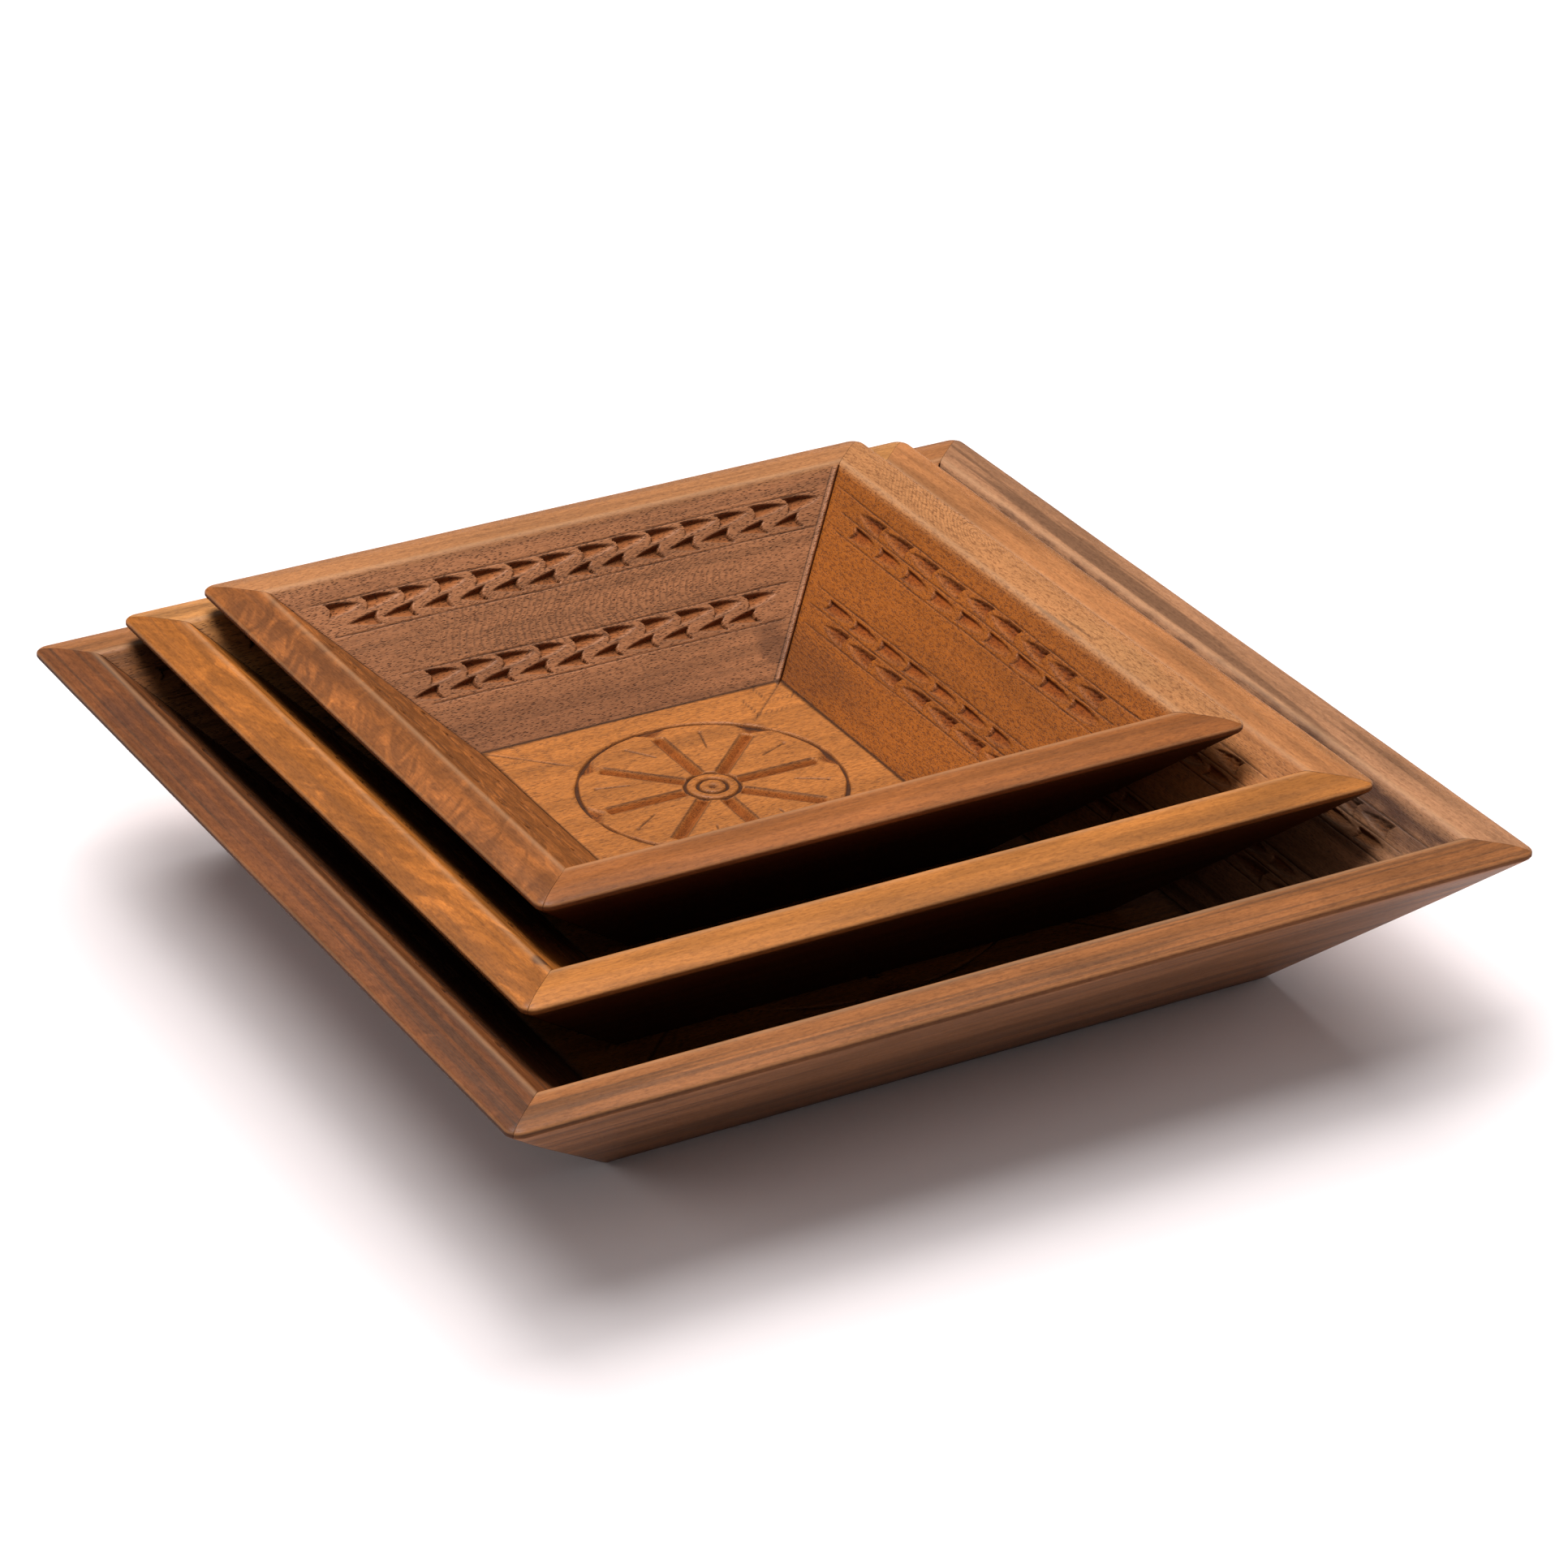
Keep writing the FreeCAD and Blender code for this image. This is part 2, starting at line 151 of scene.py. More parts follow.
# ---------------------------------------------------------------- carving
def scoop(x, v, cut):
    """Depth of one gouge cut and how dark each point of it is, with painted shade at its stop and
    on its steep upper wall.

    The cut is deepest at a curved stop and tapers to a point. The wood left standing on
    the other side of the stop ends in a rounded tongue.
    """
    top, foot = cut["top"], cut["foot"]
    middle, half = (top + foot) / 2, (foot - top) / 2
    across = np.clip((v - middle) / half, -1, 1)
    along = cut["way"] * (x - cut["stop"]) - cut["bulge"] * (1 - across ** 2)
    p = along / cut["length"]
    inside = (p >= 0) & (p <= 1) & (v > top) & (v < foot)
    reach = np.clip(p, 0, 1)
    tip = top + cut["tip"] * (foot - top)
    upper = top + (tip - top) * reach ** cut["taper"]
    lower = foot - (foot - tip) * reach ** cut["taper"]
    share = np.clip((v - upper) / np.maximum(lower - upper, 1e-3), 0, 1)
    trough = cut["depth"] * (1 - reach) ** cut["run"] * (1 - share) ** cut["soft"]
    wall = cut["steep"] * np.maximum(v - upper, 0)
    depth = np.minimum(wall, trough)
    # Painted shade: dark at the stop's wall and on the steep upper wall, where the cut is in
    # shadow.
    shaded = np.maximum(0.85 * np.exp(-along / 0.5), 0.5 * ((wall < trough) & (depth > 0.15)))
    rough = 0.5 + 0.5 * np.sin(2.3 * x + 1.7 * v + 2 * np.sin(0.9 * x)) * np.sin(1.1 * x - 2.9 * v)
    depth = depth * (1 - cut.get("torn", 0.0) * rough)
    border = np.maximum(np.exp(-((v - upper) / 0.28) ** 2), np.exp(-((lower - v) / 0.28) ** 2))
    shaded = np.maximum(shaded, 0.6 * border * (1 - reach ** 3))
    # Darker with depth in the rough floor of the cut: dirt and painted shade in the hollow.
    shaded = np.maximum(shaded, cut["dirt_and_shade"] * rough * np.clip(depth / cut["depth"] * 2, 0, 1))
    return np.where(inside, depth, 0.0), np.where(inside, shaded, 0.0)


TONGUE = {"length": 9.8, "bulge": 1.8, "depth": 2.3, "steep": 1.05, "tip": 0.42,
          "taper": 2.4, "soft": 0.9, "run": 0.8, "dirt_and_shade": 0.1}
POCKET = {"length": 8.8, "bulge": 1.5, "depth": 2.0, "steep": 1.25, "tip": 0.6,
          "taper": 1.5, "soft": 0.5, "run": 0.7, "dirt_and_shade": 0.3}
SLOT = {"length": 13.2, "bulge": 1.2, "depth": 1.3, "steep": 2.2, "tip": 0.35,
        "taper": 4.0, "soft": 0.6, "run": 0.6, "dirt_and_shade": 0.15}
FLARE = {"length": 13.6, "bulge": 1.5, "depth": 2.1, "steep": 1.1, "tip": 0.45,
         "taper": 2.6, "soft": 0.9, "run": 0.7, "dirt_and_shade": 0.95, "torn": 0.55}

# A style is the pitch of the cuts, the room left at the band's start, and its rows: the
# kind of cut, the way it runs, its high and low edge across the band, and its first place.
ROPE = {"pitch": 11.2, "start": 9.3, "centre_line": False, "tilt": 0.2,
        "rows": [(TONGUE, 1, 0.04, 0.47, 0), (POCKET, -1, 0.50, 0.92, 1)]}
ROPE_BELOW = dict(ROPE, start=12.3, rows=[(TONGUE, 1, 0.06, 0.49, 0),
                                          (POCKET, -1, 0.52, 0.92, 0)])
CHAIN = {"pitch": 15.2, "start": 16.2, "centre_line": True, "tilt": -0.8,
         "rows": [(FLARE, -1, 0.05, 0.46, 1), (SLOT, 1, 0.58, 0.93, 0)]}
CHAIN_BELOW = {"pitch": 15.2, "start": 13.0, "centre_line": True, "tilt": 0.0,
               "rows": [(SLOT, 1, 0.10, 0.42, 0), (FLARE, -1, 0.56, 0.95, 1)]}


def carve_band(x, v, ridge, band, style, rng):
    """Relief of one band: depth into the wood and darkness of its lines, per point."""
    top, foot = band
    lines = [top, foot] + ([(top + foot) / 2] if style["centre_line"] else [])
    depth, dark = np.zeros_like(v), np.zeros_like(v)
    for line in lines:
        reach = ridge - line * math.cos(WALL_ANGLE) - rng.uniform(1.0, 6.0)
        strength = 0.8 + wander(x, int(rng.integers(1e6)), 41.0, 0.25)
        mark = np.exp(-((v - line) / 0.15) ** 2) * np.clip((reach - np.abs(x)) / 2, 0, 1)
        mark = mark * np.clip(strength, 0.25, 1)
        depth = np.maximum(depth, 0.3 * mark)
        dark = np.maximum(dark, mark)
    pitch = style["pitch"]
    for kind, way, high, low, place in style["rows"]:
        edges = [top + share * (foot - top) for share in (high, low)]
        start = -(ridge - edges[0] * math.cos(WALL_ANGLE) - style["start"])
        reach = ridge - edges[1] * math.cos(WALL_ANGLE) - 1.2
        stop = start + place * pitch
        while stop + (kind["length"] - 2.5 if way > 0 else 0.0) < reach:
            cut = dict(kind, way=way, stop=stop + rng.uniform(-0.4, 0.4))
            cut["top"] = edges[0] + rng.uniform(-0.2, 0.2)
            cut["foot"] = edges[1] + rng.uniform(-0.2, 0.2)
            for key in ("length", "depth", "bulge", "tip"):
                cut[key] = kind[key] * rng.uniform(0.85, 1.12)
            sunk, shaded = scoop(x, v, cut)
            depth, dark = np.maximum(depth, sunk), np.maximum(dark, shaded)
            stop += pitch
    chatter = wander(x + 3 * v, 9, 2.6, 0.05) + wander(v * 4 - x, 11, 3.7, 0.04)
    return depth + np.where(depth > 0.2, chatter, 0), dark


# ---------------------------------------------------------------- side boards
def band_rows(band):
    """Mesh rows of a band, down the slope: some lie exactly on its scribed lines."""
    step = (band[1] - band[0]) / BAND_STEPS
    return np.arange(-BAND_EDGE, BAND_STEPS + BAND_EDGE + 1) * step + band[0]


def slope_rows(size):
    """Distances down the inner slope of the mesh rows, from the underside to the ridge."""
    floor = size["slope"] - size["floor_thick"] / math.sin(WALL_ANGLE)
    lower, upper = band_rows(LOWER_BAND)[::-1], band_rows(UPPER_BAND)[::-1]
    rows = [size["slope"], floor + 3.0, floor + 0.2, floor - 0.15]

    def plain(start, end):
        count = int(round((start - end) / 1.8)) + 1
        return list(np.linspace(start, end, count + 1)[:-1])

    rows += plain(floor - 0.5, lower[0]) + list(lower)
    rows += plain(lower[-1], upper[0])[1:] + list(upper)
    rows += plain(upper[-1], RIDGE_RADIUS * 0.4)[1:] + [RIDGE_RADIUS * 0.4]
    return np.array(rows)


def band_shift(x, v, ridge, styles, seed):
    """How far a slope's points move up so that the bands run a little unevenly."""
    wobble = wander(x, seed, 90.0, 0.22)
    total = np.zeros_like(x)
    for band, style in zip((UPPER_BAND, LOWER_BAND), styles):
        outside = np.maximum(band[0] - v, v - band[1]) - 1.5
        window = np.clip(1 - outside / 3.0, 0, 1)
        total += window * (wobble + style["tilt"] * x / ridge)
    return total


def rim_drop(across):
    """Fall of the rim's top below the ridge, from the ridge to the outer edge (0 to 1)."""
    start = 0.56
    rolled = np.clip((across - start) / (1 - start), 0, 1) ** 1.25
    return RIM_FALL * (0.10 * across + 0.90 * rolled)


def board_section(size):
    """Closed cross-section of a side board.

    Returns y, z, the outward normal's y and z, the distance down the inner slope (or -1 off
    it) and the face of each row.
    """
    half, height, ridge = size["half"], size["height"], size["ridge"]
    rows = []

    def add(y, z, ny, nz, v, face):
        rows.append((y, z, ny, nz, v, face))

    sin, cos = math.sin(WALL_ANGLE), math.cos(WALL_ANGLE)
    for v in slope_rows(size):
        add(ridge - v * cos, height - v * sin, -sin, cos, v, SLOPE)
    tangent = RIDGE_RADIUS * math.tan(WALL_ANGLE / 2)
    for share in np.linspace(0.0, 1.0, 7)[1:]:
        turn = WALL_ANGLE * (1 - share)
        y = ridge + tangent - RIDGE_RADIUS * math.sin(turn)
        z = height - RIDGE_RADIUS * (1 - math.cos(turn))
        add(y, z, -math.sin(turn), math.cos(turn), -1, RIM)
    nose = 0.7
    width = half - ridge
    for share in np.linspace(tangent / width, 1 - nose / width, 14)[1:]:
        add(ridge + share * width, height - rim_drop(share), 0, 1, -1, RIM)
    nose_top = height - RIM_FALL
    for turn in (30, 60, 90):
        a = math.radians(turn)
        add(half - nose * (1 - math.sin(a)), nose_top - nose * (1 - math.cos(a)),
            math.sin(a), math.cos(a), -1, NOSE)
    nose_foot = nose_top - NOSE_HEIGHT
    add(half, nose_foot + 0.25, 1, 0, -1, NOSE)
    add(half - 0.2, nose_foot - 0.02, 0.7, -0.7, -1, NOSE)
    for z in np.linspace(nose_foot - 0.25, 0.5, 24):
        add(half - (nose_foot - z) * RUN - 0.02, z, sin, -cos, -1, WALL)
    outer_foot = half - nose_foot * RUN
    inner_foot = ridge - height * RUN
    add(outer_foot - 0.1, 0.1, 0.6, -0.8, -1, WALL)
    for share in (0.04, 0.5, 0.96):
        add(outer_foot + share * (inner_foot - outer_foot), 0.0, 0, -1, -1, UNDERSIDE)
    return [np.array(column) for column in zip(*rows)]


def station_points(y):
    """Positions along the board of one row's points, from mitre to mitre."""
    edges = np.array([2.6, 2.3, 2.05, 1.8, 1.4, 0.55, 0.28, 0.12, 0.0])
    middle = np.linspace(-1, 1, COLUMNS) * (y - edges[0] - JOINT_GAP)
    ends = y - edges[1:] - JOINT_GAP
    return np.concatenate([-ends[::-1], middle, ends])


def ease_corners(x, y, size, z):
    """Round the board's outline near the mitres, seen from above."""
    half = size["half"]
    nose_foot = size["height"] - RIM_FALL - NOSE_HEIGHT
    below = np.clip((nose_foot - z) / 14.0, 0, 1)     # the outer wall's corner is sharper
    outer = half - np.maximum(nose_foot - z, 0) * RUN
    radius = CORNER_RADIUS * (1 - below) + 2.0 * below
    centre = outer - radius
    # On the rim's top the rounding narrows towards the inside of the board.
    room = np.maximum(y - centre, 0)
    dx, dy = np.abs(x) - centre, y - centre
    beyond = (dx > 0) & (dy > 0) & (np.hypot(dx, dy) > room)
    scale = np.where(beyond, room / np.maximum(np.hypot(dx, dy), 1e-6), 1.0)
    return (np.where(beyond, np.sign(x) * (centre + dx * scale), x),
            np.where(beyond, centre + dy * scale, y))


def carve_slope(x, v, on_slope, ridge, styles, rng):
    """Relief of both bands on a board's grid: depth and darkness per point."""
    depth, dark = np.zeros_like(x), np.zeros_like(x)
    for band, style in zip((UPPER_BAND, LOWER_BAND), styles):
        cut, line = carve_band(x, v, ridge, band, style, rng)
        near = on_slope & (v > band[0] - 1.5) & (v < band[1] + 1.5)
        depth = np.where(near, np.maximum(depth, cut), depth)
        dark = np.where(near, np.maximum(dark, line), dark)
    return depth, dark


def open_joints(depth, dark, x, y, kind, proud):
    """Sink and darken the glue lines at the mitres.

    A proud board stands a little above its neighbour at its +x end, with a painted shadow along
    the step.
    """
    from_mitre = y - np.abs(x)
    shown, on_rim = kind < UNDERSIDE, kind == RIM
    joint = np.exp(-(from_mitre / 0.3) ** 2)
    depth = depth + np.where(shown, np.where(on_rim, 0.03, 0.13) * joint, 0)
    line = np.where(on_rim, 0.2, 0.75) * np.exp(-(from_mitre / 0.22) ** 2)
    if proud:
        lip = (kind == SLOPE) & (x > 0)
        depth = depth - np.where(lip, 0.9 * np.clip((1.9 - from_mitre) / 0.5, 0, 1), 0)
        # Painted shadow: a dark line at the lip's step, 2.2 mm from the mitre.
        line = np.where(lip, 0.8 * np.exp(-((from_mitre - 2.2) / 0.25) ** 2), line)
    return depth, np.maximum(dark, np.where(shown, line, 0))


def seam_shadow_and_highlight(dark, size, y, v, kind, normal_z):
    """Dirt in the seam round the floor, painted shadow under the nose, and a painted highlight
    along the ridge and on the nose's top.
    """
    seam = size["slope"] - size["floor_thick"] / math.sin(WALL_ANGLE) - v
    dark = np.maximum(dark, np.where((kind == SLOPE) & (np.abs(seam) < 0.3), 0.8, 0))
    # Painted shadow on the nose's underside.
    dark = np.maximum(dark, np.where((kind == NOSE) & (normal_z < 0.1), 0.5, 0))
    # Painted highlight: a pale band just inside the ridge on the rim, and on the nose's upper
    # rounding.
    edge_highlight = np.where(kind == RIM, np.exp(-((y - size["ridge"] - 0.8) / 0.9) ** 2), 0)
    edge_highlight = np.maximum(edge_highlight, np.where((kind == NOSE) & (normal_z > 0.3), 0.6, 0))
    return dark, edge_highlight


def side_board(bowl, side):
    size = measure(bowl)
    seed = 100 * BOWLS.index(bowl) + 10 * list(SIDES).index(side)
    rng = np.random.default_rng(seed)
    section = board_section(size)
    x = np.stack([station_points(value) for value in section[0]])
    rows, columns = x.shape
    y, z, normal_y, normal_z, v, kind = [np.repeat(values[:, None], columns, axis=1)
                                         for values in section]
    on_slope = kind == SLOPE
    styles = (ROPE, ROPE_BELOW) if side in ("back", "front") else (CHAIN, CHAIN_BELOW)
    shift = np.where(on_slope, band_shift(x, v, size["ridge"], styles, seed + 3), 0)
    x = x * (y + shift * math.cos(WALL_ANGLE)) / y
    y, z = y + shift * math.cos(WALL_ANGLE), z + shift * math.sin(WALL_ANGLE)

    depth, dark = carve_slope(x, v, on_slope, size["ridge"], styles, rng)
    depth, dark = open_joints(depth, dark, x, y, kind, side == "back")
    round_section = np.cumsum(np.ones_like(x), 0) * 0.6
    depth = depth + np.where(kind < UNDERSIDE,
                             0.04 + ripple(x, round_section, seed + 5, 70.0, 0.07), 0)
    depth = depth * np.where(kind == UNDERSIDE, 0, 1)
    dark, edge_highlight = seam_shadow_and_highlight(dark, size, y, v, kind, normal_z)

    z_new = np.clip(z - normal_z * depth, BOX_MARGIN, size["height"] - BOX_MARGIN)
    y_new = np.minimum(y - normal_y * depth, size["half"] - 2 * BOX_MARGIN)
    x, y_new = ease_corners(x, y_new, size, z_new)
    limit = np.maximum(y_new - JOINT_GAP, 0)
    x = np.clip(x, -limit, limit)

    # 0 on the inner slope, 1 on the rim and nose, 2 on the outer wall and the underside.
    face = np.where(on_slope, np.clip(1 - v / 2.5, 0, 1), np.where(kind < WALL, 1, 2))
    points = np.stack([x, y_new, z_new], axis=-1).reshape(-1, 3)
    index = np.arange(rows * columns).reshape(rows, columns)
    caps = np.stack([index[:, 0], index[::-1, -1]])
    turn = Matrix.Rotation(math.radians(SIDES[side]), 4, "Z")
    return build_object("%s_%s_board" % (bowl, side), points, [grid_faces(rows, columns), caps],
                        {"cut": dark, "sunk": np.where(on_slope, depth, 0), "edge_highlight": edge_highlight,
                         "face": face}, Matrix.Translation(size["place"]) @ turn)


# ---------------------------------------------------------------- floor boards
def near_segment(x, y, start, end):
    """Distance of each point from a straight line between two points."""
    ax, ay = start
    bx, by = end
    length = (bx - ax) ** 2 + (by - ay) ** 2
    t = np.clip(((x - ax) * (bx - ax) + (y - ay) * (by - ay)) / length, 0, 1)
    return np.hypot(x - ax - t * (bx - ax), y - ay - t * (by - ay))


def wheel_radii(wheel, hub, eye):
    """Radii of the mesh rows of a floor, dense where something is cut."""
    def ring(radius):
        return [radius + offset for offset in (-0.8, -0.5, -0.32, 0.0, 0.32, 0.5, 0.8)]

    rows = [0.35, 0.8, 1.2, 1.6] + ring(eye) + [eye + 1.4] + ring(hub)
    start, end = hub + 1.1, wheel - 1.1
    rows += list(np.linspace(start, end, int((end - start) / 0.36 * 37.5 / wheel)))
    rows += ring(wheel)
    return np.array(rows)


class Relief:
    """Depth and darkness of the cuts on a floor board, per point of its grid."""

    def __init__(self, x, y):
        self.x, self.y = x, y
        self.depth, self.dark = np.zeros_like(x), np.zeros_like(x)

    def line(self, mark, cut, dark=1.0):
        np.maximum(self.depth, cut * mark, out=self.depth)
        np.maximum(self.dark, dark * mark, out=self.dark)


def carve_rings(relief, wheel, hub, eye):
    r, angle = np.hypot(relief.x, relief.y), np.arctan2(relief.y, relief.x)
    for radius, cut in ((wheel, 0.9), (hub, 0.8), (eye, 0.8)):
        jitter = radius / wheel * (0.12 * np.sin(7 * angle) + 0.08 * np.sin(19 * angle))
        relief.line(np.clip((0.62 - np.abs(r - radius) + jitter) / 0.25, 0, 1), cut, 0.95)
    relief.line(np.exp(-(r / 1.1) ** 2), 0.9)


def carve_spoke(relief, wheel, hub, along, aside, width):
    """A V-shaped groove from the hub almost to the rim of the wheel."""
    groove = np.clip(1 - np.abs(aside) / width, 0, 1)
    ends = np.clip((along - hub - 0.3) / 0.8, 0, 1)
    ends = ends * np.clip((wheel * 0.87 - along) / 0.8, 0, 1)
    relief.line(groove * ends, 2.1, 0.0)
    # Painted shade: dark lines along the groove's two edges and its bottom.
    for edge, dark in ((width, 0.7), (-width, 0.7), (0.0, 0.3)):
        relief.line(np.exp(-((aside - edge) / 0.32) ** 2) * ends, 0.0, dark)


def carve_leaf(relief, wheel, along, aside, spread):
    """A chip between the rim of the wheel and the spoke's end."""
    tall = wheel * 0.125
    r = np.hypot(relief.x, relief.y)
    foot = wheel - tall * (1 - np.abs(aside) / spread)
    leaf = (along > 0) & (np.abs(aside) < spread) & (r < wheel) & (along > foot)
    fall = np.minimum((wheel - r) / 0.7, (along - foot) / (tall * 0.9))
    rough = 0.55 + 0.3 * np.sin(r * 5.1 + aside * 1.7)
    relief.line(np.where(leaf, np.clip(fall, 0, 1), 0), 1.6, 0.0)
    relief.line(np.where(leaf, rough * np.clip(fall + 0.25, 0, 1), 0), 0.0)


def carve_tick(relief, wheel, middle, lean):
    """A short scratch with a dot at its outer end."""
    dot = (0.86 * wheel * math.cos(middle), 0.86 * wheel * math.sin(middle))
    tail = (0.62 * wheel * math.cos(lean), 0.62 * wheel * math.sin(lean))
    scratch = near_segment(relief.x, relief.y, dot, tail)
    relief.line(np.exp(-(scratch / 0.3) ** 2), 0.35, 0.8)
    spot = np.hypot(relief.x - dot[0], relief.y - dot[1])
    relief.line(np.exp(-(spot / 0.6) ** 2), 0.6, 0.8)


def carve_corners(relief, wheel, half, rng):
    """In each corner a line to the wheel and two small angles across it."""
    for sx in (-1, 1):
        for sy in (-1, 1):
            inner, corner = wheel * 0.79, half - 1.0
            segments = [((inner, inner), (corner, corner))]
            for place, length in ((half * 0.80, half * 0.18), (half * 0.67, half * 0.2)):
                segments.append(((place, place), (place, place + length)))
                segments.append(((place, place), (place + length, place)))
            for start, end in segments:
                gap = near_segment(relief.x * sx, relief.y * sy, start, end)
                relief.line(np.exp(-(gap / 0.3) ** 2), 0.3, rng.uniform(0.55, 0.85))


def carve_floor(x, y, wheel, hub, eye, half, rng):
    """Relief of the wheel and the marks round it: depth and darkness per point."""
    relief = Relief(x, y)
    carve_rings(relief, wheel, hub, eye)
    for i in range(SPOKES):
        turn = i * 2 * math.pi / SPOKES + rng.uniform(-0.015, 0.015)
        along = x * math.cos(turn) + y * math.sin(turn)
        aside = -x * math.sin(turn) + y * math.cos(turn)
        carve_spoke(relief, wheel, hub, along, aside, rng.uniform(1.95, 2.25))
        carve_leaf(relief, wheel, along, aside, wheel * 0.185 * rng.uniform(0.9, 1.1))
        middle = turn + math.pi / SPOKES + rng.uniform(-0.05, 0.05)
        carve_tick(relief, wheel, middle, middle + rng.uniform(-0.12, 0.12))
    carve_corners(relief, wheel, half, rng)
    return relief.depth, relief.dark


def floor_board(bowl):
    size = measure(bowl)
    seed = 700 + BOWLS.index(bowl)
    rng = np.random.default_rng(seed)
    half = size["floor_half"] - 0.12
    wheel = WHEEL_SHARE * size["floor_half"]
    hub, eye = 0.205 * wheel, 0.11 * wheel
    radii = wheel_radii(wheel, hub, eye)
    angle = np.arange(WHEEL_COLUMNS) * 2 * math.pi / WHEEL_COLUMNS
    edge = half / np.maximum(np.abs(np.cos(angle)), np.abs(np.sin(angle)))
    inside = np.repeat(radii[:, None], WHEEL_COLUMNS, axis=1)
    share = np.linspace(0, 1, EDGE_ROWS + 1)[1:, None] ** 1.1
    r = np.concatenate([inside, radii[-1] + (edge[None, :] - radii[-1]) * share])
    x, y = r * np.cos(angle), r * np.sin(angle)
    depth, dark = carve_floor(x, y, wheel, hub, eye, half, rng)
    dark[-1] = 0.7      # dirt in the seam with the sides
    top = size["floor_thick"] - 0.05
    z = top - depth - 0.05 - ripple(x, y, seed, 60.0, 0.05)

    # The edges slope in to a smaller underside.
    low = 1 - size["floor_thick"] * RUN / half
    under_ring = np.stack([x[-1] * low, y[-1] * low, np.zeros(WHEEL_COLUMNS)], axis=-1)
    points = np.concatenate([np.stack([x, y, z], axis=-1).reshape(-1, 3), under_ring,
                             np.array([[0.0, 0.0, top - 0.9], [0.0, 0.0, 0.0]])])
    rows = len(r) + 1
    index = np.arange(rows * WHEEL_COLUMNS).reshape(rows, WHEEL_COLUMNS)
    following = np.roll(index, -1, axis=1)
    quads = np.stack([index[:-1], index[1:], following[1:], following[:-1]],
                     axis=-1).reshape(-1, 4)
    centre, under = len(points) - 2, len(points) - 1
    fan = np.stack([np.full(WHEEL_COLUMNS, centre), index[0], following[0]], axis=-1)
    base = np.stack([np.full(WHEEL_COLUMNS, under), following[-1], index[-1]], axis=-1)
    pad = np.zeros(WHEEL_COLUMNS + 2)
    values = {"cut": np.concatenate([dark.ravel(), pad]),
              "sunk": np.concatenate([depth.ravel(), pad]),
              "edge_highlight": np.zeros(len(points))}
    return build_object(bowl + "_floor_board", points, [quads, fan, base], values,
                        Matrix.Translation(size["place"]))


# ---------------------------------------------------------------- materials
class Graph:
    """Short names for building a node tree."""

    def __init__(self, tree):
        self.tree = tree
        tree.nodes.clear()

    def node(self, kind, inputs=None, **settings):
        node = self.tree.nodes.new(kind)
        for key, value in settings.items():
            setattr(node, key, value)
        for key, value in (inputs or {}).items():
            self.link(value, node.inputs[key])
        return node

    def link(self, value, socket):
        if isinstance(value, bpy.types.NodeSocket):
            self.tree.links.new(value, socket)
        else:
            socket.default_value = value

    def math(self, operation, a, b=0.0, clamp=False):
        node = self.node("ShaderNodeMath", {0: a, 1: b}, operation=operation)
        node.use_clamp = clamp
        return node.outputs[0]

    def add(self, a, b):
        return self.math("ADD", a, b)

    def times(self, a, b):
        return self.math("MULTIPLY", a, b)

    def span(self, value, low, high, to_low=0.0, to_high=1.0):
        """Smooth step of value from low..high to to_low..to_high."""
        node = self.node("ShaderNodeMapRange", {0: value, 1: low, 2: high, 3: to_low,
                                                4: to_high}, interpolation_type="SMOOTHSTEP")
        return node.outputs[0]

    def mix(self, factor, a, b, blend="MIX"):
        node = self.node("ShaderNodeMix", data_type="RGBA", blend_type=blend)
        self.link(factor, node.inputs[0])
        self.link(a, node.inputs[6])
        self.link(b, node.inputs[7])
        return node.outputs[2]

    def stretch(self, vector, scales, shift=(0, 0, 0)):
        node = self.node("ShaderNodeMapping", {"Vector": vector, "Scale": scales,
                                               "Location": shift})
        return node.outputs[0]

    def noise(self, vector, detail=2.0, rough=0.5, scale=1.0):
        node = self.node("ShaderNodeTexNoise", {"Vector": vector, "Scale": scale,
                                                "Detail": detail, "Roughness": rough})
        return node.outputs[0]

    def attribute(self, name):
        node = self.node("ShaderNodeAttribute", attribute_name=name)
        return node.outputs["Fac"]


def shade(colour, share=1.0):
    """A colour socket's value from linear red, green and blue, darkened to a share."""
    return tuple(value * share for value in colour) + (1.0,)


# What each board's wood looks like; what isn't given comes from PLAIN. Places on a board are
# millimetres along it and down its inner slope from the ridge; the rim is above 0.
PLAIN = {
    "light": (0.30, 0.105, 0.025),      # main colour, linear
    "dark": 0.55, "tone": 1.0,          # share of it in the broad dark bands, and their strength
    "rim": None,                        # main colour of the rim, where it differs
    # On the small and medium bowls this dark share is painted shade on the outer walls under their
    # rims.
    "outside": (0.14, 0.14, 0.16),      # share of the colour left on the outer wall
    # Long stripes: colour, strength, width and how little they change along the board.
    "streak": (0.09, 0.040, 0.018), "streaks": 0.25, "streak_wide": 3.0, "streak_run": 0.03,
    # Growth rings: the tree's centre, its tilt to the board, ring width and strength.
    "eye": (150.0, 20.0), "tilt": 0.1, "ring": 1.6, "rings": 0.35,
    "arcs": (),                         # ovals where the rings show best
    "knots": (),                        # ovals round which the rings bend, and by how much
    # Pores: strength, how many per millimetre along and across, and colour.
    "pores": 0.8, "dash": 0.45, "fine": 3.0, "pore": (0.055, 0.020, 0.010),
    "curl": 0.0, "curl_lean": 0.5,      # slanting flames, and their slant
    "mottle": 0.35, "rough": 0.46,
    # Patches are mostly stains; one on the large bowl's right side is a painted shadow.
    "patches": (),                      # stained ovals: place, half sizes, colour, strength
}
SCRAPED = (1.05, 1.28, 1.9)             # the large bowl's paler, greyer outer walls
STAIN_AND_SHADOW = (0.05, 0.020, 0.012)
OLIVE = (0.36, 0.170, 0.065)
